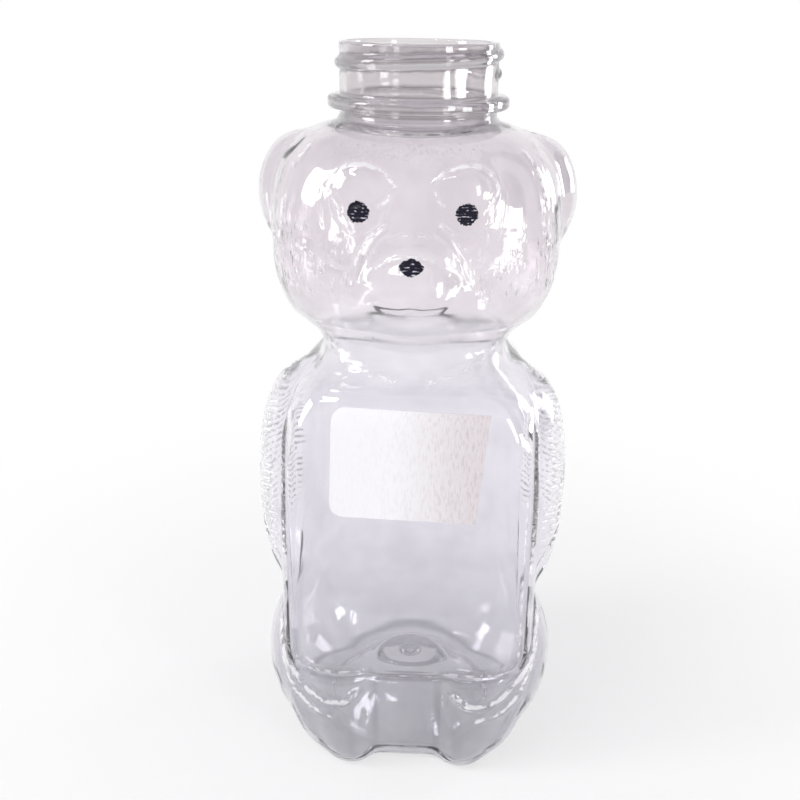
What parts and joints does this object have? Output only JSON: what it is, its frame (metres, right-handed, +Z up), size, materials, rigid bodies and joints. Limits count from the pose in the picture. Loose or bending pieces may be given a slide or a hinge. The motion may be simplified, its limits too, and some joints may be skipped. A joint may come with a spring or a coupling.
{
  "type": "bear-shaped honey bottle",
  "caption": "Clear blow-moulded squeeze bottle in the shape of a sitting bear, with a screw-thread neck, printed eyes and nose and a blank paper sticker on its front panel.",
  "frame": {"origin": "on the standing face, under the axis of the neck", "axes": "+Z up the neck to the lip; the bear faces -Y; +X is on the right as seen from the front"},
  "size_m": [0.0754, 0.0668, 0.172],
  "materials": {
    "clear_pet": "gloss",
    "label_paper": "matte",
    "black_ink": "satin"
  },
  "bodies": {
    "root": {"bottle": "clear_pet", "label": "label_paper", "eye_left": "black_ink", "eye_right": "black_ink", "nose": "black_ink"}
  },
  "joints": []
}
